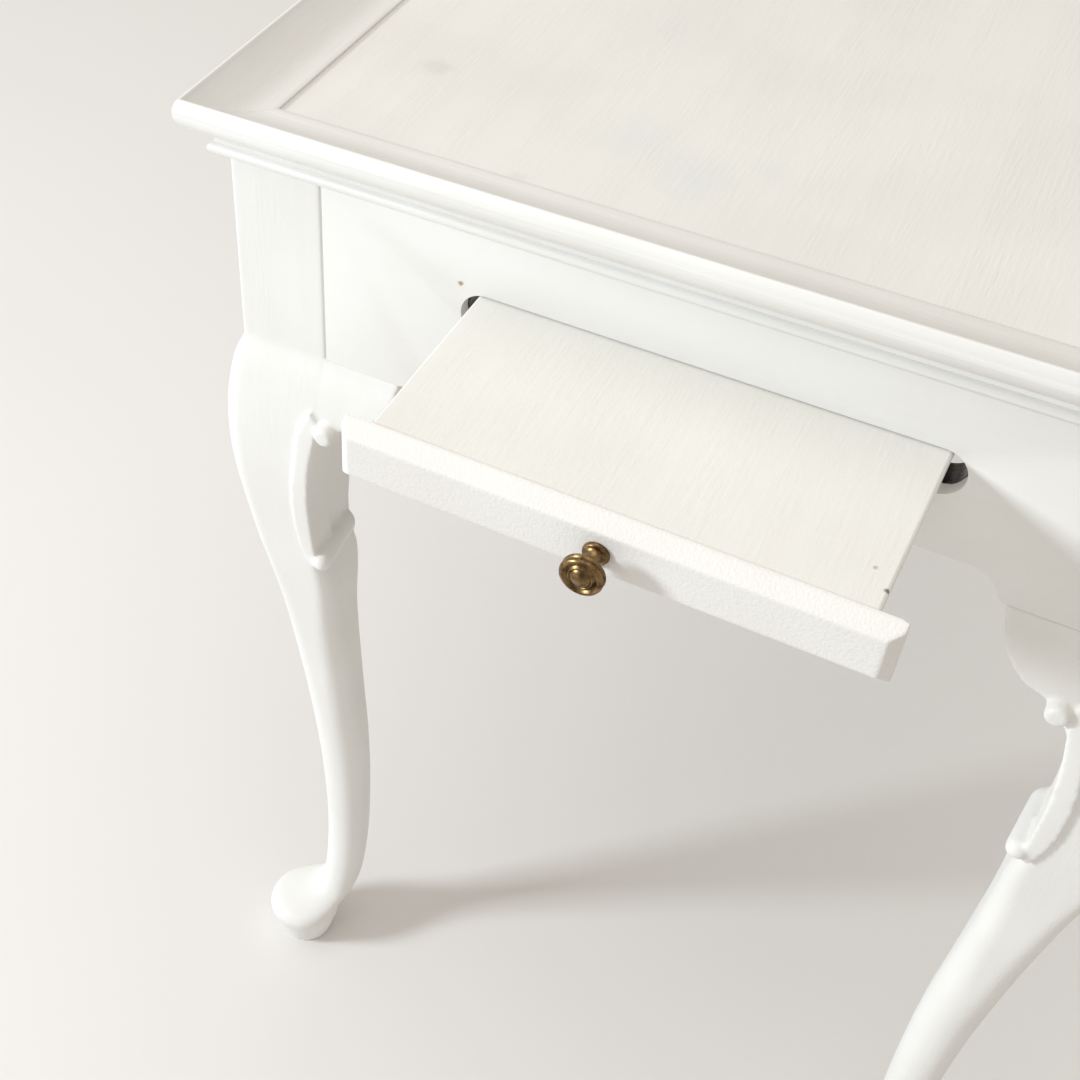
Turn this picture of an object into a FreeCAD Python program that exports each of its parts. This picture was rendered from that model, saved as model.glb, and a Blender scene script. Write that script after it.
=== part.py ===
import FreeCAD, Part
import math
import os

# Tray-top side table on four cabriole legs, with one candle slide in its front apron.
# Built in millimetres with x across the front, y from front to back and z up from the floor,
# and then moved so that the origin is under the middle of the whole object's box.

Vec = FreeCAD.Vector

# Overall frame
frame_width = 441.6        # across the outer faces of the posts
frame_depth = 711.2        # front apron face to rear apron face
knee_height = 535.0        # floor to the line where posts and aprons meet the knees
post_size = 45.6
apron_rise = 97.8          # knee line to the top of posts and aprons
apron_thick = 20.0
shoulder_gap = 0.35        # open joint line between an apron and a post
glue_gap = 0.1             # glue line between a knee block and the leg
half_width = frame_width / 2

# Shaped lower edge of the aprons
arch_rise = 13.4
arch_run = 58.4            # from a post to the end of the straight raised edge
ovolo_run = 15.4
ovolo_drop = 12.2
foot_flat = 38.9           # straight stretch beside the post, where the knee block is glued

# Tenons
tenon_thick = 9.0
tenon_length = 24.0
tenon_low = 16.0
tenon_high = 86.0
tenon_inset = 7.0          # apron face to tenon face

# Top
board_thick = 15.0
board_top = apron_rise + board_thick
crest_rise = 125.3
rim_inner = 16.0           # inner edge of the rim, inside the apron face
rim_rebate = 110.5         # underside of the rim where it laps the edge bead
rim_seat = 0.4             # shallow rebate in the board that the rim is glued into

# Candle slide
pull_out = 91.5            # how far the slide stands out at rest
slot_half = 107.0
slot_top = 65.0
slot_height = 22.3
slide_half = 99.3
slide_thick = 6.4
slide_top = 64.4
slide_length = 300.0
lip_half = 110.0
lip_low = 37.5
lip_high = 65.3
lip_thick = 8.5
lip_groove = 2.0
lip_edge = 4.0             # square edge behind the lip's lower and side bevels
lip_crest = 1.0            # square edge behind the upper bevel
lip_top_bevel = 4.3        # drop of the upper bevel
lip_foot_bevel = 4.4       # rise of the lower bevel
lip_side_bevel = 4.5
knob_z = 51.1
knob_bore = 1.6
stop_travel = 200.0        # full travel before the stop pegs meet the apron
peg_radius = 4.0
peg_rise = 7.0
peg_x = 60.0

# Runners
runner_inner = 91.0
runner_outer = 116.0
runner_low = 50.0
runner_high = 74.0
runner_clear = 0.6
cross_rail_y = 330.0
cross_rail_thick = 20.0

# Cabriole leg below the knee line: depth, outer reach, inner reach, and the radii of the
# outer, side and inner corners. Reaches are from the post's centre towards each face.
leg_sections = [
    (0.0, 22.8, 22.8, 1.5, 1.5, 1.5),
    (4.0, 24.0, 22.8, 3.5, 1.5, 1.5),
    (10.0, 26.9, 22.8, 6.0, 1.5, 1.5),
    (20.0, 29.8, 22.8, 8.5, 1.5, 1.5),
    (32.0, 32.0, 22.8, 10.5, 1.5, 2.0),
    (45.0, 33.3, 21.8, 11.5, 2.5, 3.0),
    (58.0, 33.7, 19.2, 12.0, 4.0, 5.0),
    (73.0, 33.3, 17.0, 12.0, 4.5, 6.0),
    (90.0, 31.9, 15.7, 12.0, 5.0, 7.0),
    (110.0, 29.4, 14.8, 11.0, 5.0, 7.0),
    (130.0, 26.6, 14.4, 10.0, 5.0, 7.0),
    (144.0, 24.4, 15.6, 9.0, 6.0, 7.0),
    (155.0, 22.5, 17.4, 8.4, 7.5, 7.5),
    (166.0, 20.9, 18.2, 8.6, 8.6, 8.6),
    (191.0, 17.9, 18.2, 10.4, 10.4, 10.4),
    (221.0, 15.1, 18.9, 11.9, 11.9, 11.9),
    (250.0, 12.6, 20.2, 13.0, 13.0, 13.0),
    (280.0, 10.4, 21.6, 14.2, 14.2, 14.2),
    (309.0, 8.5, 23.1, 15.1, 15.1, 15.1),
]
# Round stretch: depth, outward shift of the centre along both axes, radius
round_sections = [
    (338.0, -8.6, 15.2),
    (368.0, -9.4, 14.5),
    (397.0, -9.7, 13.9),
    (427.0, -9.3, 13.4),
    (456.0, -7.9, 12.8),
    (476.0, -6.0, 12.4),
    (486.0, -3.4, 13.0),
    (492.0, 1.8, 16.2),
    (496.5, 8.6, 20.4),
    (500.5, 12.6, 23.0),
    (504.0, 13.7, 23.7),
    (510.0, 13.7, 22.9),
    (520.0, 13.6, 20.4),
    (530.0, 13.4, 17.6),
    (535.0, 13.4, 16.2),
]

# Carved scroll on each leg: a raised strap beside the inner edge, ending in a small curl, and
# a roll that swells from the curl to the back of the leg. Pairs are depth and inward reach.
strap_inner = [(30.0, 22.4), (45.0, 22.0), (60.0, 19.4), (75.0, 17.6), (92.0, 16.5), (139.0, 16.4)]
strap_outer = [(27.0, 19.0), (36.0, 14.0), (55.0, 10.6), (80.0, 7.4), (106.0, 6.4), (128.0, 8.4),
               (142.0, 12.5)]
strap_proud = 2.6
curl_radius = 5.5
curl_reach = 18.5
curl_front = 25.8
curl_depth = 134.0
roll_radius = 8.0
roll_reach = 12.6
roll_back = -3.4

# Knee block and its volute
volute_reach = 5.6
volute_depth = 35.0
volute_radius = 5.3
volute_front = 38.6
eye_radius = 1.1

knob_base = 5.4
knob_length = 16.5
dome_radius = 4.2
dome_rise = 1.7

os.makedirs("parts", exist_ok=True)


def box(x0, x1, y0, y1, z0, z1):
    return Part.makeBox(x1 - x0, y1 - y0, z1 - z0, Vec(x0, y0, z0))


def prism(points, direction):
    """Closed outline of straight edges, extruded along a direction."""
    wire = Part.makePolygon(points + [points[0]])
    return Part.Face(wire).extrude(direction)


def swept_outline(edges, direction):
    """Closed outline of mixed edges, extruded along a direction."""
    wire = Part.Wire(Part.__sortEdges__(edges))
    return Part.Face(wire).extrude(direction)


def line(a, b):
    return Part.LineSegment(a, b).toShape()


def arc(a, mid, b):
    return Part.Arc(a, mid, b).toShape()


def cylinder(radius, length, start, direction):
    return Part.makeCylinder(radius, length, start, direction)


def group(shapes):
    return Part.makeCompound(shapes)


# ---------------------------------------------------------------- legs

def corner_wire(depth, outer, inner, outer_round, side_round, inner_round):
    """Rounded square about the post's centre line. Local +x and +y point outwards."""
    z = knee_height - depth
    corners = [
        (outer, outer, outer_round),
        (-inner, outer, side_round),
        (-inner, -inner, inner_round),
        (outer, -inner, side_round),
    ]
    edges = []
    starts = []
    ends = []
    mids = []
    for x, y, radius in corners:
        sx = 1 if x > 0 else -1
        sy = 1 if y > 0 else -1
        centre = Vec(x - sx * radius, y - sy * radius, z)
        on_x = Vec(x, centre.y, z)
        on_y = Vec(centre.x, y, z)
        diagonal = radius / math.sqrt(2)
        mid = Vec(centre.x + sx * diagonal, centre.y + sy * diagonal, z)
        first_on_x = (sx * sy) > 0
        starts.append(on_x if first_on_x else on_y)
        ends.append(on_y if first_on_x else on_x)
        mids.append(mid)
    for i in range(4):
        edges.append(arc(starts[i], mids[i], ends[i]))
        edges.append(line(ends[i], starts[(i + 1) % 4]))
    return Part.Wire(edges)


def round_wire(depth, shift, radius):
    """Near-circular section with the same eight edges as the knee's sections."""
    rounding = radius * 0.97
    return corner_wire(depth, radius + shift, radius - shift, rounding, rounding, rounding)


def swap_axes(shape):
    """Mirror across the plane x = y, which swaps the two outward directions."""
    return shape.mirror(Vec(0, 0, 0), Vec(1, -1, 0))


def smooth_edge(points):
    curve = Part.BSplineCurve()
    curve.interpolate(points)
    return curve.toShape()


def swell_prism(proud, last_section, back):
    """Solid whose outer face follows the knee's swell, from the block's end to the post."""
    points = [
        Vec(-80.0, outer + proud, knee_height - depth)
        for depth, outer, *rest in leg_sections[:last_section]
    ]
    low_z = points[-1].z
    edges = [
        smooth_edge(points),
        line(points[-1], Vec(-80.0, back, low_z)),
        line(Vec(-80.0, back, low_z), Vec(-80.0, back, knee_height)),
        line(Vec(-80.0, back, knee_height), points[0]),
    ]
    return swept_outline(edges, Vec(90.0, 0, 0))


def scroll_strap():
    """Raised strap on the front face of the knee, in leg-local axes."""
    inner = [Vec(-reach, 0, knee_height - depth) for depth, reach in strap_inner]
    outer = [Vec(-reach, 0, knee_height - depth) for depth, reach in strap_outer]
    edges = [
        smooth_edge(inner),
        smooth_edge(outer),
        line(inner[0], outer[0]),
        line(inner[-1], outer[-1]),
    ]
    outline = swept_outline(edges, Vec(0, 40.0, 0))
    outline.translate(Vec(0, 12.0, 0))
    return outline.common(swell_prism(strap_proud, 14, 5.0))


def scroll_roll():
    """Roll across the inner face, from the curl to the leg's back corner."""
    z = knee_height - curl_depth
    start = Vec(-curl_reach, curl_front, z)
    end = Vec(-roll_reach, roll_back, z)
    path = end - start
    roll = Part.makeCone(curl_radius, roll_radius, path.Length, start, path)
    for point, radius in ((start, curl_radius), (end, roll_radius)):
        roll = roll.fuse(Part.makeSphere(radius, point))
    return roll


def leg_core():
    """Leg in local axes: outwards is +x and +y, the post's centre line is the z axis."""
    wires = [corner_wire(*section) for section in leg_sections]
    wires += [round_wire(*section) for section in round_sections]
    cabriole = Part.makeLoft(wires, True, False)
    half = post_size / 2
    post = box(-half, half, -half, half, knee_height, knee_height + apron_rise)
    leg = post.fuse(cabriole)
    strap = scroll_strap()
    roll = scroll_roll()
    leg = leg.fuse([strap, roll, swap_axes(strap), swap_axes(roll)])
    face = half - tenon_inset
    mortise = box(
        -half, tenon_length - half,
        face - tenon_thick, face,
        knee_height + tenon_low, knee_height + tenon_high,
    )
    return leg.cut([mortise, swap_axes(mortise)])


def place_corner(shape, x_side, y_side):
    """Move a shape from leg-local axes to a corner; sides are -1 or +1."""
    placed = shape.copy()
    if x_side < 0:
        placed = placed.mirror(Vec(0, 0, 0), Vec(1, 0, 0))
    if y_side < 0:
        placed = placed.mirror(Vec(0, 0, 0), Vec(0, 1, 0))
    centre_x = x_side * (half_width - post_size / 2)
    centre_y = post_size / 2 if y_side < 0 else frame_depth - post_size / 2
    placed.translate(Vec(centre_x, centre_y, 0))
    return placed


def knee_block():
    """Bracket under the end of an apron, with the round volute at its tip."""
    post = -post_size / 2
    inner = post - glue_gap
    far = post - foot_flat
    z = knee_height
    top_far = Vec(far, 0, z)
    side_low = Vec(far + 1.0, 0, z - 5.0)
    shoulder = Vec(far + 18.0, 0, z - 29.8)
    volute_x = post - volute_reach
    volute_z = z - volute_depth
    neck = Vec(volute_x - 4.6, 0, volute_z + 1.2)
    tail = Vec(volute_x + 1.0, 0, volute_z - 5.0)
    tail_inside = Vec(inner, 0, volute_z - 11.0)
    inside_top = Vec(inner, 0, z)
    edges = [
        line(top_far, side_low),
        arc(side_low, Vec(far + 7.4, 0, z - 19.4), shoulder),
        line(shoulder, neck),
        line(neck, tail),
        line(tail, tail_inside),
        line(tail_inside, inside_top),
        line(inside_top, top_far),
    ]
    outline = swept_outline(edges, Vec(0, 60, 0))
    outline.translate(Vec(0, -20, 0))
    block = outline.common(swell_prism(0.0, 8, post_size / 2 - apron_thick))
    disc = cylinder(
        volute_radius, 30.0,
        Vec(volute_x, volute_front - 30.0, volute_z), Vec(0, 1, 0),
    )
    rim = [
        e for e in disc.Edges
        if len(e.Vertexes) == 1 and abs(e.Vertexes[0].Y - volute_front) < 0.01
    ]
    disc = disc.makeFillet(2.4, rim)
    eye = cylinder(
        eye_radius, 6.0,
        Vec(volute_x + 2.0, volute_front - 4.5, volute_z - 2.6), Vec(0, 1, 0),
    )
    return block.fuse(disc).cut(eye)


# ---------------------------------------------------------------- aprons

def apron_outline(span, y):
    """Face outline of an apron between two posts, centred on x = 0."""
    half = span / 2 - shoulder_gap
    post = span / 2
    low = knee_height
    top = knee_height + apron_rise
    straight = post - arch_run
    rounded = straight + ovolo_run
    flat_start = post - foot_flat
    arch_z = low + arch_rise
    ovolo_z = arch_z - ovolo_drop
    diagonal = 1 / math.sqrt(2)
    edges = [line(Vec(-half, y, top), Vec(half, y, top))]
    for side in (-1, 1):
        mid = Vec(
            side * (straight + ovolo_run * diagonal), y,
            ovolo_z + ovolo_drop * diagonal,
        )
        edges += [
            line(Vec(side * half, y, top), Vec(side * half, y, low)),
            line(Vec(side * half, y, low), Vec(side * flat_start, y, low)),
            line(Vec(side * flat_start, y, low), Vec(side * rounded, y, ovolo_z)),
            arc(Vec(side * rounded, y, ovolo_z), mid, Vec(side * straight, y, arch_z)),
        ]
    edges.append(line(Vec(-straight, y, arch_z), Vec(straight, y, arch_z)))
    return edges


def apron(span):
    """Apron centred on x = 0 with its outer face on y = 0, tenons included."""
    body = swept_outline(apron_outline(span, 0.0), Vec(0, apron_thick, 0))
    for side in (-1, 1):
        inner = side * (span / 2 - 2.0)
        outer = side * (span / 2 + tenon_length - 1.0)
        tenon = box(
            min(inner, outer), max(inner, outer),
            tenon_inset, tenon_inset + tenon_thick,
            knee_height + tenon_low, knee_height + tenon_high,
        )
        body = body.fuse(tenon)
    return body.removeSplitter()


def front_slot():
    """Long round-ended opening for the slide."""
    radius = slot_height / 2
    mid_z = knee_height + slot_top - radius
    straight = slot_half - radius
    slot = box(-straight, straight, -5, apron_thick + 5, mid_z - radius, mid_z + radius)
    for side in (-1, 1):
        start = Vec(side * straight, -5, mid_z)
        slot = slot.fuse(cylinder(radius, apron_thick + 10, start, Vec(0, 1, 0)))
    return slot


def turned(shape, degrees, dx, dy):
    placed = shape.copy()
    placed.rotate(Vec(0, 0, 0), Vec(0, 0, 1), degrees)
    placed.translate(Vec(dx, dy, 0))
    return placed


# ---------------------------------------------------------------- top

def mitred(edges, run_half, out_limit, in_limit):
    """Extrude a section along x and cut both ends at 45 degrees."""
    bar = swept_outline(edges, Vec(2 * run_half + 200, 0, 0))
    bar.translate(Vec(-run_half - 100, 0, 0))
    z0 = knee_height + 60
    keep = prism(
        [
            Vec(-run_half - out_limit, -out_limit, z0),
            Vec(run_half + out_limit, -out_limit, z0),
            Vec(run_half - in_limit, in_limit, z0),
            Vec(-run_half + in_limit, in_limit, z0),
        ],
        Vec(0, 0, 100),
    )
    return bar.common(keep)


def top_board():
    """Board with a shallow rebate all round for the rim."""
    low = knee_height + apron_rise
    high = knee_height + board_top
    board = box(-half_width, half_width, 0, frame_depth, low, high - rim_seat)
    raised = box(
        -half_width + rim_inner, half_width - rim_inner,
        rim_inner, frame_depth - rim_inner,
        low, high,
    )
    return board.fuse(raised).removeSplitter()


def rim_section():
    """Section of the tray rim: cove inside, sharp crest, half-round outside."""
    seat = board_top - rim_seat

    def p(y, z):
        return Vec(0, y, knee_height + z)
    return [
        line(p(rim_inner, seat), p(rim_inner, board_top + 1.2)),
        line(p(rim_inner, board_top + 1.2), p(13.4, board_top + 1.6)),
        arc(p(13.4, board_top + 1.6), p(-3.0, board_top + 4.9), p(-12.6, crest_rise - 0.7)),
        arc(p(-12.6, crest_rise - 0.7), p(-13.6, crest_rise), p(-14.6, crest_rise - 0.5)),
        arc(p(-14.6, crest_rise - 0.5), p(-16.2, 119.0), p(-13.4, 112.2)),
        arc(p(-13.4, 112.2), p(-11.9, 110.9), p(-10.0, rim_rebate)),
        line(p(-10.0, rim_rebate), p(0, rim_rebate)),
        line(p(0, rim_rebate), p(0, seat)),
        line(p(0, seat), p(rim_inner, seat)),
    ]


def edge_bead_section():
    """Section of the strip on the board's edge, with a round nose along its foot."""
    def p(y, z):
        return Vec(0, y, knee_height + z)
    return [
        line(p(0, apron_rise), p(-4.2, apron_rise)),
        arc(p(-4.2, apron_rise), p(-6.8, 100.4), p(-4.2, 103.0)),
        line(p(-4.2, 103.0), p(-4.2, rim_rebate)),
        line(p(-4.2, rim_rebate), p(0, rim_rebate)),
        line(p(0, rim_rebate), p(0, apron_rise)),
    ]


# ---------------------------------------------------------------- slide

def slide_board():
    front = -pull_out - lip_groove
    back = -pull_out + slide_length
    z = knee_height + slide_top
    board = box(-slide_half, slide_half, front, back, z - slide_thick, z)
    long_edges = [
        e for e in board.Edges
        if abs(e.Vertexes[0].Y - e.Vertexes[1].Y) > slide_length / 2
    ]
    board = board.makeFillet(1.4, long_edges)
    for side in (-1, 1):
        hole = cylinder(peg_radius, 40, Vec(side * peg_x, peg_y(), z - 20), Vec(0, 0, 1))
        board = board.cut(hole)
    return board


def peg_y():
    """Peg position at rest, so that the pegs meet the apron at the full travel."""
    return apron_thick + stop_travel - pull_out + peg_radius


def stop_pegs():
    z = knee_height + slide_top
    return group([
        cylinder(peg_radius, slide_thick + peg_rise,
                 Vec(side * peg_x, peg_y(), z - slide_thick), Vec(0, 0, 1))
        for side in (-1, 1)
    ])


def slide_lip():
    """Front of the slide: a bar with bevelled edges, grooved behind for the board."""
    back = -pull_out
    front = back - lip_thick
    low = knee_height + lip_low
    high = knee_height + lip_high
    section = [
        Vec(-lip_half, back, low),
        Vec(-lip_half, back - lip_edge, low),
        Vec(-lip_half, front, low + lip_foot_bevel),
        Vec(-lip_half, front, high - lip_top_bevel),
        Vec(-lip_half, back - lip_crest, high),
        Vec(-lip_half, back, high),
    ]
    lip = prism(section, Vec(2 * lip_half, 0, 0))
    for side in (-1, 1):
        wedge = prism(
            [
                Vec(side * lip_half, back - lip_edge, low - 5),
                Vec(side * (lip_half + 5), back - lip_edge, low - 5),
                Vec(side * (lip_half + 5), front - 5, low - 5),
                Vec(side * (lip_half - lip_side_bevel), front - 5, low - 5),
                Vec(side * (lip_half - lip_side_bevel), front, low - 5),
            ],
            Vec(0, 0, high - low + 10),
        )
        lip = lip.cut(wedge)
    z = knee_height + slide_top
    groove = box(-slide_half, slide_half, back - lip_groove, back + 5, z - slide_thick, z)
    rounded = [
        e for e in groove.Edges
        if abs(e.Vertexes[0].Y - e.Vertexes[1].Y) > lip_groove
    ]
    groove = groove.makeFillet(1.4, rounded)
    lip = lip.cut(groove)
    bore = cylinder(knob_bore + 0.2, lip_thick + 10,
                    Vec(0, front - 5, knee_height + knob_z), Vec(0, 1, 0))
    return lip.cut(bore)


def knob_outline():
    """Half-section of the turned knob: distance in front of the lip, radius."""
    face = -pull_out - lip_thick
    dome_sphere = (dome_radius ** 2 + dome_rise ** 2) / (2 * dome_rise)
    dome_centre = knob_length - dome_sphere
    half_turn = math.asin(dome_radius / dome_sphere) / 2

    def p(t, r):
        return Vec(r, face - t, knee_height + knob_z)
    dome_start = p(knob_length - dome_rise, dome_radius)
    dome_mid = p(
        dome_centre + dome_sphere * math.cos(half_turn),
        dome_sphere * math.sin(half_turn),
    )
    return [
        line(p(0, 0), p(0, knob_base)),
        line(p(0, knob_base), p(1.0, knob_base)),
        arc(p(1.0, knob_base), p(1.9, 4.9), p(2.2, 4.2)),
        arc(p(2.2, 4.2), p(5.4, 2.8), p(8.8, 4.0)),
        arc(p(8.8, 4.0), p(9.9, 5.4), p(10.2, 7.7)),
        arc(p(10.2, 7.7), p(11.3, 8.7), p(12.4, 7.9)),
        arc(p(12.4, 7.9), p(13.7, 8.7), p(15.0, 7.8)),
        arc(p(15.0, 7.8), p(15.3, 7.2), p(14.9, 6.6)),
        arc(p(14.9, 6.6), p(14.1, 5.8), p(14.9, 5.0)),
        arc(p(14.9, 5.0), p(15.2, 4.6), dome_start),
        arc(dome_start, dome_mid, p(knob_length, 0)),
        line(p(knob_length, 0), p(0, 0)),
    ]


def slide_knob():
    wire = Part.Wire(Part.__sortEdges__(knob_outline()))
    axis_point = Vec(0, 0, knee_height + knob_z)
    knob = Part.Face(wire).revolve(axis_point, Vec(0, 1, 0), 360)
    thread = cylinder(knob_bore, 8.0, Vec(0, -pull_out - lip_thick - 8.0, knee_height + knob_z),
                      Vec(0, 1, 0))
    return knob.cut(thread)


def knob_screw():
    z = knee_height + knob_z
    shank = cylinder(knob_bore, lip_thick + 8.0, Vec(0, -pull_out - lip_thick - 8.0, z),
                     Vec(0, 1, 0))
    head = cylinder(3.6, 1.8, Vec(0, -pull_out, z), Vec(0, 1, 0))
    rim = [e for e in head.Edges if e.Curve.TypeId == "Part::GeomCircle"
           and abs(e.Vertexes[0].Y - (-pull_out + 1.8)) < 0.01]
    head = head.makeFillet(1.0, rim)
    return shank.fuse(head)


# ---------------------------------------------------------------- runners and blocks

def runner(side):
    z_low = knee_height + runner_low
    z_high = knee_height + runner_high
    x0 = min(side * runner_inner, side * runner_outer)
    x1 = max(side * runner_inner, side * runner_outer)
    bar = box(x0, x1, apron_thick, cross_rail_y, z_low, z_high)
    reach = slide_half + runner_clear
    gx0 = min(side * (runner_inner - 5), side * reach)
    gx1 = max(side * (runner_inner - 5), side * reach)
    groove = box(
        gx0, gx1, apron_thick - 5, cross_rail_y + 5,
        knee_height + slide_top - slide_thick - runner_clear,
        knee_height + slide_top + runner_clear,
    )
    return bar.cut(groove)


def cross_rail():
    reach = half_width - apron_thick
    return box(-reach, reach, cross_rail_y, cross_rail_y + cross_rail_thick,
               knee_height + 46.0, knee_height + apron_rise)


def corner_block(x_side, y_side):
    """Glue block behind a post, touching both aprons."""
    leg_length = 45.0
    near = apron_thick
    far = post_size + leg_length
    outline = [(post_size, near), (far, near), (near, far), (near, post_size),
               (post_size, post_size)]
    points = []
    for a, b in outline:
        x = x_side * (half_width - a)
        y = b if y_side < 0 else frame_depth - b
        points.append(Vec(x, y, knee_height + 58.0))
    return prism(points, Vec(0, 0, apron_rise - 58.0))


def wood_screw(point, direction, length):
    """Countersunk screw whose flat head is at the point."""
    cone = Part.makeCone(3.6, 1.9, 2.4, point, direction)
    shank = cylinder(1.9, length, point, direction)
    return cone.fuse(shank)


def runner_screw_set():
    """Screws through the cross rail into the end of each runner."""
    z = knee_height + 54.0
    back = cross_rail_y + cross_rail_thick
    x = (slide_half + runner_outer) / 2 + 1.0
    return [wood_screw(Vec(side * x, back, z), Vec(0, -1, 0), 42.0) for side in (-1, 1)]


def top_screw_set():
    """Screws up through the corner blocks into the top board."""
    screws = []
    inset = post_size + 9.0
    for x_side in (-1, 1):
        for y in (inset, frame_depth - inset):
            point = Vec(x_side * (half_width - inset), y, knee_height + 58.0)
            screws.append(wood_screw(point, Vec(0, 0, 1), apron_rise - 58.0 + 9.0))
    return screws


def brace_screw_set():
    """Screws through the corner blocks into the front and rear aprons."""
    screws = []
    z = knee_height + 80.0
    for x_side in (-1, 1):
        for y_side in (-1, 1):
            x = x_side * (half_width - post_size - 13.0)
            if y_side < 0:
                point = Vec(x, apron_thick + 30.0, z)
                direction = Vec(0, -1, 0)
            else:
                point = Vec(x, frame_depth - apron_thick - 30.0, z)
                direction = Vec(0, 1, 0)
            screws.append(wood_screw(point, direction, 40.0))
    return screws


def drilled(shape, screws):
    """Cut the screws' own shapes, so that each seats in its hole."""
    for screw in screws:
        shape = shape.cut(screw)
    return shape


# ---------------------------------------------------------------- assembly

def build():
    nodes = {}
    core = leg_core()
    end_block = knee_block()
    side_block = swap_axes(end_block)
    corners = {
        "front_left": (-1, -1),
        "front_right": (1, -1),
        "rear_left": (-1, 1),
        "rear_right": (1, 1),
    }
    top_screws = top_screw_set()
    brace_screws = brace_screw_set()
    runner_screws = runner_screw_set()
    for name, (x_side, y_side) in corners.items():
        nodes["leg_" + name] = place_corner(core, x_side, y_side)
        nodes["knee_block_" + name + "_end"] = place_corner(end_block, x_side, y_side)
        nodes["knee_block_" + name + "_side"] = place_corner(side_block, x_side, y_side)
        block = corner_block(x_side, y_side)
        nodes["corner_block_" + name] = drilled(block, top_screws + brace_screws)

    end_apron = apron(frame_width - 2 * post_size)
    side_apron = apron(frame_depth - 2 * post_size)
    middle = frame_depth / 2
    nodes["apron_front"] = drilled(end_apron.cut(front_slot()), brace_screws)
    nodes["apron_rear"] = drilled(turned(end_apron, 180, 0, frame_depth), brace_screws)
    nodes["apron_left"] = turned(side_apron, -90, -half_width, middle)
    nodes["apron_right"] = turned(side_apron, 90, half_width, middle)

    nodes["top_board"] = drilled(top_board(), top_screws)
    sections = {
        "rim": (rim_section(), 40.0, rim_inner + 20.0),
        "edge_bead": (edge_bead_section(), 40.0, 20.0),
    }
    for name, (edges, outward, inward) in sections.items():
        short_bar = mitred(edges, half_width, outward, inward)
        long_bar = mitred(edges, middle, outward, inward)
        nodes[name + "_front"] = short_bar
        nodes[name + "_rear"] = turned(short_bar, 180, 0, frame_depth)
        nodes[name + "_left"] = turned(long_bar, -90, -half_width, middle)
        nodes[name + "_right"] = turned(long_bar, 90, half_width, middle)

    nodes["slide_board"] = slide_board()
    nodes["slide_lip"] = slide_lip()
    nodes["slide_knob"] = slide_knob()
    nodes["knob_screw"] = knob_screw()
    nodes["slide_stop_pegs"] = stop_pegs()
    nodes["slide_runner_left"] = drilled(runner(-1), runner_screws)
    nodes["slide_runner_right"] = drilled(runner(1), runner_screws)
    nodes["cross_rail"] = drilled(cross_rail(), runner_screws)
    nodes["runner_screws"] = group(runner_screws)
    nodes["top_screws"] = group(top_screws)
    nodes["brace_screws"] = group(brace_screws)
    return nodes


def main():
    nodes = build()
    extremes = Part.makeCompound([nodes["slide_knob"], nodes["rim_rear"]])
    whole = extremes.optimalBoundingBox(False, False)
    shift = Vec(0, -(whole.YMin + whole.YMax) / 2, 0)
    for name, shape in nodes.items():
        shape.translate(shift)
        shape.exportStep("parts/" + name + ".step")
    print("nodes", len(nodes))
    print("shift", tuple(round(v, 4) for v in shift))
    print("overall", round(whole.XLength, 2), round(whole.YLength, 2), knee_height + crest_rise)
    for name, shape in nodes.items():
        box_now = shape.BoundBox
        print(name, "valid", shape.isValid(), "solids", len(shape.Solids),
              "cm3", round(shape.Volume / 1000, 2),
              "low", tuple(round(v, 1) for v in (box_now.XMin, box_now.YMin, box_now.ZMin)),
              "high", tuple(round(v, 1) for v in (box_now.XMax, box_now.YMax, box_now.ZMax)))


main()
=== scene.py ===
import math
import bpy
from mathutils import Matrix, Vector


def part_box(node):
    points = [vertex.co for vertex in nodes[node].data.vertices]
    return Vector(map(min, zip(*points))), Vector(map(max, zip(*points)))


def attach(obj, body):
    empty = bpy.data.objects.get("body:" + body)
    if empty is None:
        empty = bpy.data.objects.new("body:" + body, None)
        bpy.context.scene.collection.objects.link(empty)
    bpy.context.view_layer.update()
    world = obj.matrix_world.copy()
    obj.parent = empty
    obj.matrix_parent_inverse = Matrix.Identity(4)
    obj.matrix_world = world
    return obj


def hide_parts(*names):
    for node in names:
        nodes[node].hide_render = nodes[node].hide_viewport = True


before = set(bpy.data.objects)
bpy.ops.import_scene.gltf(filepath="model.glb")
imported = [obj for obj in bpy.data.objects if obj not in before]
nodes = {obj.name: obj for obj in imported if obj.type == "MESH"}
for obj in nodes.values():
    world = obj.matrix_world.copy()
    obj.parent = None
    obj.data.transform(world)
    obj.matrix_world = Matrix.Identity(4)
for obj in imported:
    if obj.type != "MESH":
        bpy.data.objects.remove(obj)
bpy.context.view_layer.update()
scene = bpy.context.scene
mm = 0.001


# small helpers for working as by hand

def only(piece):
    bpy.ops.object.select_all(action="DESELECT")
    piece.select_set(True)
    bpy.context.view_layer.objects.active = piece


def openMesh(piece, mode="VERT"):
    only(piece)
    bpy.ops.object.mode_set(mode="EDIT")
    bpy.ops.mesh.select_mode(type=mode)


def closeMesh():
    bpy.ops.object.mode_set(mode="OBJECT")


def pickVerts(piece, test):
    openMesh(piece)
    bpy.ops.mesh.select_all(action="DESELECT")
    closeMesh()
    for vert in piece.data.vertices:
        vert.select = test(vert.co)
    openMesh(piece)


def finishWith(piece, kind, **settings):
    only(piece)
    modifier = piece.modifiers.new(kind.lower(), kind)
    for name, value in settings.items():
        setattr(modifier, name, value)
    bpy.ops.object.modifier_apply(modifier=modifier.name)


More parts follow.
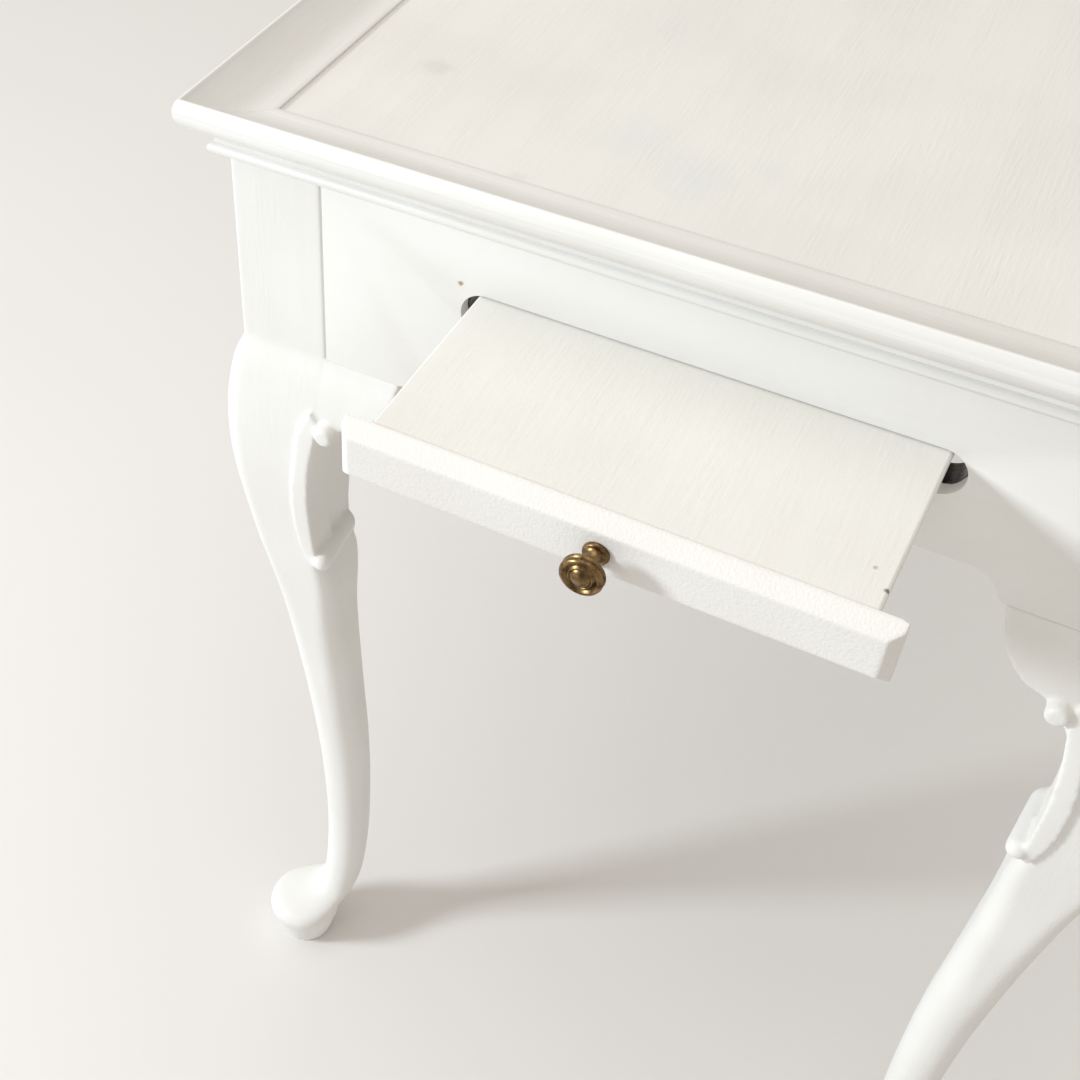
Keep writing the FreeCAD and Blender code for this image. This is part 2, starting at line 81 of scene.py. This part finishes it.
def copyNode(nodeName, pieceName):
    piece = bpy.data.objects.new(pieceName, nodes[nodeName].data.copy())
    scene.collection.objects.link(piece)
    piece.data.name = pieceName
    piece.data.materials.clear()
    openMesh(piece)
    bpy.ops.mesh.select_all(action="SELECT")
    bpy.ops.mesh.remove_doubles(threshold=0.01 * mm)
    closeMesh()
    return piece


def joinInto(piece, others):
    bpy.ops.object.select_all(action="DESELECT")
    for other in others:
        other.select_set(True)
    piece.select_set(True)
    bpy.context.view_layer.objects.active = piece
    bpy.ops.object.join()


def copyPiece(piece, name):
    twin = bpy.data.objects.new(name, piece.data.copy())
    scene.collection.objects.link(twin)
    twin.data.name = name
    return twin


def smoothByAngle(piece, degrees):
    only(piece)
    bpy.ops.object.shade_smooth_by_angle(angle=math.radians(degrees))


def softenEdges(piece, width, segments=3, flatness=1.0, angle=30):
    openMesh(piece)
    bpy.ops.mesh.select_all(action="SELECT")
    bpy.ops.mesh.dissolve_limited(angle_limit=math.radians(flatness))
    closeMesh()
    finishWith(
        piece, "BEVEL", width=width, segments=segments,
        limit_method="ANGLE", angle_limit=math.radians(angle),
    )
    smoothByAngle(piece, 35)


def settle(piece, body, slotName, material, *replaced):
    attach(piece, body)
    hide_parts(*replaced)
    piece.data.materials.clear()
    piece.data.materials.append(material)


# camera, floor and light

camera = {
    "place": (0.1289, -0.79595, 1.0064),
    "heading": 30.53,
    "tilt": 45.69,
    "roll": -0.935,
    "lens": 53.28,
    "sensor": 36.0,
    "shift": 0.1702,
}


def makeCamera():
    data = bpy.data.cameras.new("camera")
    data.lens = camera["lens"]
    data.sensor_width = camera["sensor"]
    data.shift_x = camera["shift"]
    data.clip_start = 0.01
    body = bpy.data.objects.new("camera", data)
    scene.collection.objects.link(body)
    turn = Matrix.Rotation(math.radians(camera["heading"]), 4, "Z")
    turn = turn @ Matrix.Rotation(math.radians(90 - camera["tilt"]), 4, "X")
    turn = turn @ Matrix.Rotation(math.radians(camera["roll"]), 4, "Z")
    body.matrix_world = Matrix.Translation(camera["place"]) @ turn
    scene.camera = body


makeCamera()
scene.view_settings.view_transform = "Standard"

studio = {
    "floorSize": 12.0,
    "aim": (0.0, -0.1, 0.4),
    "worldColour": (1.0, 0.935, 0.85),
    "worldStrength": 0.54,
}
lamps = {
    "key": {"towards": (-0.80, -0.62, 0.44), "distance": 4.0, "size": 0.7, "power": 108,
            "colour": (0.87, 0.945, 1.0)},
    "overhead": {"towards": (-0.1, -0.15, 1.0), "distance": 2.5, "size": 2.4, "power": 23,
                 "colour": (1.0, 0.98, 0.95)},
}


def makeLamp(name, lamp):
    towards = Vector(lamp["towards"]).normalized()
    data = bpy.data.lights.new(name, "AREA")
    data.size = lamp["size"]
    data.energy = lamp["power"]
    data.color = lamp["colour"]
    body = bpy.data.objects.new(name, data)
    scene.collection.objects.link(body)
    body.location = Vector(studio["aim"]) + towards * lamp["distance"]
    body.rotation_euler = towards.to_track_quat("Z", "Y").to_euler()


def makeStudio():
    world = bpy.data.worlds.new("studio")
    scene.world = world
    world.use_nodes = True
    back = world.node_tree.nodes["Background"]
    back.inputs["Color"].default_value = (*studio["worldColour"], 1)
    back.inputs["Strength"].default_value = studio["worldStrength"]
    for name, lamp in lamps.items():
        makeLamp(name, lamp)
    bpy.ops.object.select_all(action="DESELECT")
    bpy.ops.mesh.primitive_plane_add(size=studio["floorSize"])
    floor = bpy.context.object
    floor.name = "floor"
    return floor


floor = makeStudio()
print("camera, floor and lamps")


# shader writing

class Wire:
    # wraps one output socket, so that shader sums read as plain sums
    def __init__(self, tree, socket=None):
        self.tree = tree
        self.socket = socket

    def node(self, kind, settings=None, values=None, out=0):
        made = self.tree.nodes.new(kind)
        for name, value in (settings or {}).items():
            if name == "stops":
                ramp = made.color_ramp
                while len(ramp.elements) < len(value):
                    ramp.elements.new(0.5)
                for element, (place, colour) in zip(ramp.elements, value):
                    element.position = place
                    element.color = colour
            else:
                setattr(made, name, value)
        for name, value in (values or {}).items():
            if isinstance(value, Wire):
                self.tree.links.new(value.socket, made.inputs[name])
            else:
                made.inputs[name].default_value = value
        return Wire(self.tree, made.outputs[out])

    def sum(self, operation, first, second, third=None):
        values = {0: first, 1: second}
        if third is not None:
            values[2] = third
        return self.node("ShaderNodeMath", {"operation": operation}, values)

    def __add__(self, other):
        return self.sum("ADD", self, other)

    def __radd__(self, other):
        return self.sum("ADD", other, self)

    def __sub__(self, other):
        return self.sum("SUBTRACT", self, other)

    def __rsub__(self, other):
        return self.sum("SUBTRACT", other, self)

    def __mul__(self, other):
        return self.sum("MULTIPLY", self, other)

    def __rmul__(self, other):
        return self.sum("MULTIPLY", other, self)

    def smooth(self, low, high):
        # 0 below low, 1 above high, eased between
        return self.node(
            "ShaderNodeMapRange", {"interpolation_type": "SMOOTHSTEP"},
            {"Value": self, "From Min": low, "From Max": high},
        )

    def noise(self, place, scale, detail=2.0, roughness=0.5):
        return self.node(
            "ShaderNodeTexNoise", None,
            {"Vector": place, "Scale": scale, "Detail": detail, "Roughness": roughness},
        )

    def stretch(self, place, scale, turn=(0, 0, 0)):
        return self.node(
            "ShaderNodeMapping", {"vector_type": "POINT"},
            {"Vector": place, "Scale": scale, "Rotation": turn},
        )

    def blend(self, share, first, second):
        return self.node(
            "ShaderNodeMix", {"data_type": "RGBA"},
            {"Factor": share, 6: first, 7: second}, out=2,
        )

    def away(self, place, point):
        return self.node(
            "ShaderNodeVectorMath", {"operation": "DISTANCE"},
            {0: place, 1: point}, out=1,
        )


def startMaterial(name, **constants):
    material = bpy.data.materials.new(name)
    material.use_nodes = True
    tree = material.node_tree
    shader = tree.nodes["Principled BSDF"]
    for socketName, value in constants.items():
        shader.inputs[socketName.replace("_", " ")].default_value = value
    wire = Wire(tree)
    place = wire.node("ShaderNodeTexCoord", out="Object")
    return material, tree, shader, wire, place


def plug(tree, wire, shader, socketName):
    tree.links.new(wire.socket, shader.inputs[socketName])


# Brushed satin paint: fine bristle lines along one axis, broader laps, slow changes of tint
paints = {
    "frame": {"light": (0.832, 0.828, 0.810), "shade": (0.800, 0.793, 0.772), "roughness": 0.42,
              "bristle": 0.35, "grain": 0.12},
    "top": {"light": (0.790, 0.778, 0.745), "shade": (0.755, 0.738, 0.704), "roughness": 0.40,
            "bristle": 0.50, "grain": 0.06},
    "slide": {"light": (0.815, 0.803, 0.768), "shade": (0.785, 0.770, 0.728), "roughness": 0.38,
              "bristle": 0.48, "grain": 0.06},
    "lip": {"light": (0.820, 0.806, 0.785), "shade": (0.790, 0.768, 0.746), "roughness": 0.50,
            "bristle": 0.10, "grain": 0.50},
}
bristleSpacing = 0.8 * mm
bristleLength = 9 * mm
lapWidth = 9 * mm
lapLength = 90 * mm
tintPatch = 60 * mm
grainSize = 1.1 * mm
reliefDepth = 0.38 * mm


def paintMaterial(name, recipe, along, marks=(), slot=None):
    # along is 0, 1 or 2: the axis that the brush strokes follow
    material, tree, shader, wire, place = startMaterial(
        name, Coat_Weight=0.0, Specular_IOR_Level=0.42)
    fine = [1 / bristleSpacing] * 3
    fine[along] = 1 / bristleLength
    broad = [1 / lapWidth] * 3
    broad[along] = 1 / lapLength
    bristles = wire.noise(wire.stretch(place, fine), 0.5, 2.0, 0.6)
    laps = wire.noise(wire.stretch(place, broad), 0.5, 2.0, 0.5)
    tint = wire.noise(place, 1 / tintPatch, 2.0, 0.5)
    grain = wire.noise(place, 1 / grainSize, 1.0, 0.5)
    colour = wire.blend(
        (tint * 0.65 + laps * 0.35).smooth(0.32, 0.68),
        (*recipe["light"], 1), (*recipe["shade"], 1))
    height = bristles * recipe["bristle"] * laps.smooth(0.25, 0.6) + grain * recipe["grain"]
    for mark in marks:
        reach = wire.away(place, mark["place"])
        edge = wire.noise(place, 2.2 / mark["size"], 2.0, 0.6)
        spot = 1 - (reach + (edge - 0.5) * mark["size"] * mark.get("ragged", 1.0)).smooth(
            mark["size"] * mark.get("core", 0.5), mark["size"])
        colour = wire.blend(spot * mark["strength"], colour, (*mark["colour"], 1))
        if mark.get("dent"):
            height = height - spot * mark["dent"]
    roughness = recipe["roughness"] + (laps - 0.5) * 0.12
    if slot:
        # behind the painted mouth of the opening the walls turn near black: painted shade of the
        # deep slot, laid over the old dark finish that shows there
        alongY = wire.node("ShaderNodeSeparateXYZ", None, {0: place}, out=1)
        alongZ = wire.node("ShaderNodeSeparateXYZ", None, {0: place}, out=2)
        ragged = (wire.noise(place, 160, 2.0, 0.6) - 0.5) * 3 * mm
        paintedShadeDeep = (alongY + ragged).smooth(slot["paintTo"], slot["paintTo"] + 0.6 * mm)
        inside = alongZ.smooth(slot["low"], slot["low"] + 0.1 * mm)
        inside = inside * (1 - alongZ.smooth(slot["high"], slot["high"] + 0.1 * mm))
        colour = wire.blend(paintedShadeDeep * inside, colour, (0.016, 0.014, 0.012, 1))
        roughness = roughness * (1 - paintedShadeDeep * inside * 0.55)
    plug(tree, colour, shader, "Base Color")
    plug(tree, roughness, shader, "Roughness")
    bump = wire.node("ShaderNodeBump", None, {
        "Strength": 1.0, "Distance": reliefDepth, "Height": height})
    plug(tree, bump, shader, "Normal")
    return material


def brassMaterial():
    material, tree, shader, wire, place = startMaterial("antiqueBrass", Metallic=1.0)
    patina = wire.noise(place, 260, 3.0, 0.6)
    turning = wire.noise(wire.stretch(place, (60, 2600, 60)), 0.5, 2.0, 0.5)
    colour = wire.blend(
        patina.smooth(0.38, 0.66), (0.27, 0.175, 0.080, 1), (0.095, 0.058, 0.028, 1))
    plug(tree, colour, shader, "Base Color")
    plug(tree, 0.26 + patina * 0.18, shader, "Roughness")
    bump = wire.node("ShaderNodeBump", None, {
        "Strength": 0.5, "Distance": 0.03 * mm, "Height": turning + patina})
    plug(tree, bump, shader, "Normal")
    return material


def lacquerMaterial():
    material, tree, shader, wire, place = startMaterial(
        "darkLacquer", Coat_Weight=0.6, Coat_Roughness=0.06)
    grain = wire.noise(wire.stretch(place, (900, 30, 900)), 1.0, 2.0, 0.6)
    colour = wire.blend(grain.smooth(0.3, 0.7), (0.012, 0.010, 0.009, 1), (0.030, 0.025, 0.021, 1))
    plug(tree, colour, shader, "Base Color")
    plug(tree, 0.18 + grain * 0.12, shader, "Roughness")
    bump = wire.node("ShaderNodeBump", None, {
        "Strength": 0.4, "Distance": 0.05 * mm, "Height": grain})
    plug(tree, bump, shader, "Normal")
    return material


def bareWoodMaterial():
    material, tree, shader, wire, place = startMaterial("bareWood", Specular_IOR_Level=0.3)
    warp = wire.noise(place, 14, 2.0, 0.5)
    rings = wire.noise(wire.stretch(place, (14, 260, 260)), 1.0, 3.0, 0.6)
    pores = wire.noise(wire.stretch(place, (60, 1600, 1600)), 1.0, 2.0, 0.6)
    share = (rings * 0.7 + warp * 0.3).smooth(0.36, 0.64)
    colour = wire.blend(share, (0.50, 0.34, 0.20, 1), (0.36, 0.225, 0.12, 1))
    colour = wire.blend(pores.smooth(0.62, 0.74) * 0.5, colour, (0.22, 0.13, 0.07, 1))
    plug(tree, colour, shader, "Base Color")
    plug(tree, 0.62 + pores * 0.15, shader, "Roughness")
    bump = wire.node("ShaderNodeBump", None, {
        "Strength": 0.6, "Distance": 0.15 * mm, "Height": pores + rings})
    plug(tree, bump, shader, "Normal")
    return material


def screwMaterial():
    material, tree, shader, wire, place = startMaterial("screwSteel", Metallic=1.0)
    dull = wire.noise(place, 700, 3.0, 0.6)
    colour = wire.blend(dull.smooth(0.35, 0.7), (0.50, 0.48, 0.45, 1), (0.30, 0.27, 0.24, 1))
    plug(tree, colour, shader, "Base Color")
    plug(tree, 0.28 + dull * 0.25, shader, "Roughness")
    bump = wire.node("ShaderNodeBump", None, {
        "Strength": 0.4, "Distance": 0.03 * mm, "Height": dull})
    plug(tree, bump, shader, "Normal")
    return material


def floorMaterial():
    material, tree, shader, wire, place = startMaterial(
        "seamlessPaper", Specular_IOR_Level=0.25)
    cloud = wire.noise(place, 1.3, 2.0, 0.5)
    tooth = wire.noise(place, 900, 2.0, 0.5)
    colour = wire.blend(cloud.smooth(0.3, 0.7), (0.83, 0.812, 0.795, 1), (0.815, 0.797, 0.782, 1))
    plug(tree, colour, shader, "Base Color")
    plug(tree, 0.75 + tooth * 0.1, shader, "Roughness")
    return material


floor.data.materials.append(floorMaterial())
framePaint = {
    axis: paintMaterial("framePaint" + letter, paints["frame"], axis)
    for axis, letter in enumerate("XYZ")
}
stain = {"colour": (0.66, 0.63, 0.60), "core": 0.2}
pale = {"colour": (0.70, 0.72, 0.72), "core": 0.1}
nick = {"colour": (0.42, 0.22, 0.09), "core": 0.2, "ragged": 1.6, "dent": 0.8}
chip = {"colour": (0.13, 0.08, 0.06), "core": 0.3, "ragged": 1.6, "dent": 0.8}
scuff = {"colour": (0.50, 0.36, 0.30), "core": 0.2, "ragged": 1.8, "dent": 0.5}
# millimetres from the tray floor's front left corner to the right and back, size, strength
topMarkPlan = [
    (58, 81, 11, 0.55, stain), (127, 18, 7, 0.35, stain), (159, 69, 24, 0.5, pale),
    (191, 53, 26, 0.5, pale), (214, 72, 12, 0.35, pale), (137, 162, 15, 0.35, pale),
]


def markAt(kind, corner, right, back, up, size, strength):
    place = Vector(corner) + Vector((right, back, up)) * mm
    return {**kind, "place": tuple(place), "size": size * mm, "strength": strength}


topLow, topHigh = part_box("top_board")
slideLow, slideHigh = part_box("slide_board")
lipLow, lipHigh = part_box("slide_lip")
frontLow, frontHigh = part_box("apron_front")
trayCorner = (topLow.x, topLow.y, topHigh.z)
slideCorner = (slideHigh.x, slideLow.y, slideHigh.z)
slotCorner = (lipLow.x, frontLow.y, slideHigh.z)
topMarks = [
    markAt(kind, trayCorner, right, back, 0, size, strength)
    for right, back, size, strength, kind in topMarkPlan
]
boardMarks = [
    markAt(chip, slideCorner, -0.8, 13.1, -0.4, 1.3, 0.9),
    markAt(scuff, slideCorner, -7.6, 22.0, 0.0, 1.1, 0.7),
]
apronMarks = [markAt(nick, slotCorner, 2.5, 0.0, 3.6, 1.6, 0.9)]
# slot walls deeper than paintTo, between low and high, are painted near black as the slot's shade
slotShadeZone = {
    "paintTo": frontLow.y + 6 * mm,
    "low": slideHigh.z - 22.6 * mm,
    "high": slideHigh.z + 1.8 * mm,
}
topPaint = paintMaterial("topPaint", paints["top"], 1, topMarks)
slidePaint = paintMaterial("slidePaint", paints["slide"], 1, boardMarks)
slottedPaint = paintMaterial("slottedPaint", paints["frame"], 0, apronMarks, slotShadeZone)
lipPaint = paintMaterial("lipPaint", paints["lip"], 0)
antiqueBrass = brassMaterial()
darkLacquer = lacquerMaterial()
bareWood = bareWoodMaterial()
screwSteel = screwMaterial()
print("materials")


# CAD nodes that keep their shape and take a finish

keptFinishes = {
    "top_board": topPaint,
    "slide_board": slidePaint,
    "cross_rail": bareWood,
    "slide_stop_pegs": bareWood,
    "slide_runner_left": darkLacquer,
    "slide_runner_right": darkLacquer,
    "knob_screw": screwSteel,
    "runner_screws": screwSteel,
    "top_screws": screwSteel,
    "brace_screws": screwSteel,
}
corners = ["front_left", "front_right", "rear_left", "rear_right"]
for corner in corners:
    keptFinishes["corner_block_" + corner] = bareWood
for nodeName, finish in keptFinishes.items():
    slots = nodes[nodeName].data.materials
    if not slots:
        slots.append(finish)
    for index in range(len(slots)):
        slots[index] = finish


# legs and knee blocks

legShape = {
    "voxel": 1.0 * mm,
    "smoothing": 5,
    "tris": 70000,
    "kneeLow": 0.475,      # nothing is cut below this height
    "blockPlane": 23.05 * mm,  # from the post's centre line to the face between leg and block
    "postHalf": 22.8 * mm,
}


def shapeKnee():
    # the front left leg and its two blocks as one flowing skin
    whole = copyNode("leg_front_left", "wholeLeg")
    blocks = [
        copyNode("knee_block_front_left_end", "endBlock"),
        copyNode("knee_block_front_left_side", "sideBlock"),
    ]
    joinInto(whole, blocks)
    finishWith(whole, "REMESH", mode="VOXEL", voxel_size=legShape["voxel"], use_smooth_shade=True)
    finishWith(whole, "SMOOTH", factor=0.5, iterations=legShape["smoothing"])
    count = sum(len(face.vertices) - 2 for face in whole.data.polygons)
    finishWith(whole, "DECIMATE", ratio=min(1.0, legShape["tris"] / count))
    return whole


def cutAt(piece, point, normal, keepInner, above=None):
    # splits at a plane, keeps one side and closes the cut
    if above is None:
        openMesh(piece)
        bpy.ops.mesh.select_all(action="SELECT")
    else:
        pickVerts(piece, lambda co: co.z > above)
    bpy.ops.mesh.bisect(
        plane_co=point, plane_no=normal, use_fill=True,
        clear_outer=keepInner, clear_inner=not keepInner,
    )
    closeMesh()


apronLow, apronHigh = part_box("apron_front")
boardLow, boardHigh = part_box("top_board")
postCentre = Vector((boardLow.x + legShape["postHalf"], apronLow.y + legShape["postHalf"], 0))
whole = shapeKnee()
endPlane = postCentre + Vector((legShape["blockPlane"], 0, 0))
sidePlane = postCentre + Vector((0, legShape["blockPlane"], 0))
legPiece = copyPiece(whole, "legPiece")
cutAt(legPiece, endPlane, (1, 0, 0), True, legShape["kneeLow"])
cutAt(legPiece, sidePlane, (0, 1, 0), True, legShape["kneeLow"])
endPiece = copyPiece(whole, "endPiece")
cutAt(endPiece, (0, 0, legShape["kneeLow"]), (0, 0, 1), False)
cutAt(endPiece, endPlane, (1, 0, 0), False)
sidePiece = copyPiece(whole, "sidePiece")
cutAt(sidePiece, (0, 0, legShape["kneeLow"]), (0, 0, 1), False)
cutAt(sidePiece, sidePlane, (0, 1, 0), False)
middleY = (boardLow.y + boardHigh.y) / 2


def mirrored(piece, name, flipX, flipY):
    twin = copyPiece(piece, name)
    for vert in twin.data.vertices:
        if flipX:
            vert.co.x = -vert.co.x
        if flipY:
            vert.co.y = 2 * middleY - vert.co.y
    if flipX != flipY:
        openMesh(twin)
        bpy.ops.mesh.select_all(action="SELECT")
        bpy.ops.mesh.flip_normals()
        closeMesh()
    return twin


for corner in corners:
    flipX = corner.endswith("right")
    flipY = corner.startswith("rear")
    for source, kind, suffix, axis in (
        (legPiece, "leg_", "", 2), (endPiece, "knee_block_", "_end", 0),
        (sidePiece, "knee_block_", "_side", 1),
    ):
        nodeName = kind + corner + suffix
        piece = mirrored(source, "painted_" + nodeName, flipX, flipY)
        smoothByAngle(piece, 60)
        settle(piece, "table", "frame_paint", framePaint[2], nodeName)
for spare in (whole, legPiece, endPiece, sidePiece):
    bpy.data.objects.remove(spare)
print("legs and knee blocks")


# aprons, with softened edges

apronEdge = 0.7 * mm
for side, axis in (("front", 0), ("rear", 0), ("left", 1), ("right", 1)):
    nodeName = "apron_" + side
    piece = copyNode(nodeName, "painted_" + nodeName)
    softenEdges(piece, apronEdge)
    paint = slottedPaint if side == "front" else framePaint[axis]
    settle(piece, "table", "frame_paint", paint, nodeName)
print("aprons")


# tray rim and the beaded strip under it

for side, axis in (("front", 0), ("rear", 0), ("left", 1), ("right", 1)):
    for kind, width in (("rim_", 0.2 * mm), ("edge_bead_", 0.3 * mm)):
        nodeName = kind + side
        piece = copyNode(nodeName, "painted_" + nodeName)
        softenEdges(piece, width, 2, 0.2, 40)
        settle(piece, "table", "frame_paint", framePaint[axis], nodeName)
print("rim and beads")


# front of the slide

lipShape = {"voxel": 0.6 * mm, "smoothing": 8, "tris": 60000}


def addBox(low, high):
    bpy.ops.object.select_all(action="DESELECT")
    bpy.ops.mesh.primitive_cube_add(size=1)
    box = bpy.context.object
    for vert in box.data.vertices:
        vert.co = Vector([high[axis] if vert.co[axis] > 0 else low[axis] for axis in range(3)])
    return box


def makeLip():
    lip = copyNode("slide_lip", "painted_slide_lip")
    low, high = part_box("slide_lip")
    boardNear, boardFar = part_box("slide_board")
    # the groove is filled, and the back is carried on so that its upper edge stays sharp
    fillers = [
        addBox((boardNear.x - mm, high.y - 2.1 * mm, boardNear.z - mm),
               (boardFar.x + mm, high.y + 3 * mm, boardFar.z + 0.1 * mm)),
        addBox((low.x + 2 * mm, high.y - 1.0 * mm, low.z + mm),
               (high.x - 2 * mm, high.y + 3 * mm, high.z)),
    ]
    joinInto(lip, fillers)
    finishWith(lip, "REMESH", mode="VOXEL", voxel_size=lipShape["voxel"], use_smooth_shade=True)
    finishWith(lip, "SMOOTH", factor=0.5, iterations=lipShape["smoothing"])
    count = sum(len(face.vertices) - 2 for face in lip.data.polygons)
    finishWith(lip, "DECIMATE", ratio=min(1.0, lipShape["tris"] / count))
    cutAt(lip, (0, high.y - 0.02 * mm, 0), (0, 1, 0), True)
    smoothByAngle(lip, 60)
    settle(lip, "slide", "lip_paint", lipPaint, "slide_lip")


makeLip()
print("slide lip")


# turned knob

knobShape = {"turns": 96}
# half-section: distance in front of the lip and radius, in millimetres
knobSection = [
    (8.0, 0.0), (8.0, 1.6), (0.0, 1.6), (0.0, 5.2), (0.2, 5.4), (0.9, 5.4), (1.4, 5.25), (1.9, 4.9),
    (2.1, 4.5), (2.2, 4.2), (2.7, 3.6), (3.5, 3.1), (4.4, 2.85), (5.4, 2.8), (6.4, 2.9), (7.4, 3.2),
    (8.2, 3.6), (8.8, 4.0), (9.3, 4.45), (9.7, 5.0), (9.9, 5.4), (9.95, 6.2), (10.0, 7.1),
    (10.2, 7.7), (10.6, 8.35), (11.3, 8.7), (12.0, 8.35), (12.4, 7.9), (12.8, 8.4), (13.7, 8.7),
    (14.5, 8.4), (15.0, 7.8), (15.3, 7.2), (15.2, 6.85), (14.9, 6.6), (14.4, 6.2), (14.1, 5.8),
    (14.4, 5.4), (14.9, 5.0), (15.15, 4.8), (15.2, 4.6), (15.05, 4.35), (14.8, 4.2), (15.3, 3.8),
    (15.8, 3.1), (16.2, 2.2), (16.45, 1.1), (16.5, 0.0),
]


def makeKnob():
    low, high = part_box("slide_knob")
    lipFace = high.y
    middleZ = (low.z + high.z) / 2
    bpy.ops.object.select_all(action="DESELECT")
    bpy.ops.mesh.primitive_circle_add(vertices=len(knobSection), fill_type="NOTHING")
    knob = bpy.context.object
    knob.name = "brass_knob"
    verts = knob.data.vertices
    for vert, (ahead, radius) in zip(verts, knobSection):
        vert.co = Vector((radius * mm, lipFace - ahead * mm, middleZ))
    pickVerts(knob, lambda co: co.x < 0.01 * mm)
    bpy.ops.mesh.select_mode(type="EDGE")
    bpy.ops.mesh.delete(type="ONLY_FACE")
    closeMesh()
    for edge in knob.data.edges:
        ends = [verts[index].co for index in edge.vertices]
        edge.select = all(end.x < 0.01 * mm for end in ends)
    openMesh(knob, "EDGE")
    bpy.ops.mesh.delete(type="EDGE")
    bpy.ops.mesh.select_all(action="SELECT")
    bpy.ops.mesh.spin(
        steps=knobShape["turns"], angle=math.tau, center=(0, lipFace, middleZ), axis=(0, 1, 0))
    bpy.ops.mesh.select_all(action="SELECT")
    bpy.ops.mesh.remove_doubles(threshold=0.01 * mm)
    bpy.ops.mesh.normals_make_consistent(inside=False)
    closeMesh()
    smoothByAngle(knob, 40)
    settle(knob, "slide", "antique_brass", antiqueBrass, "slide_knob")


makeKnob()
print("knob")
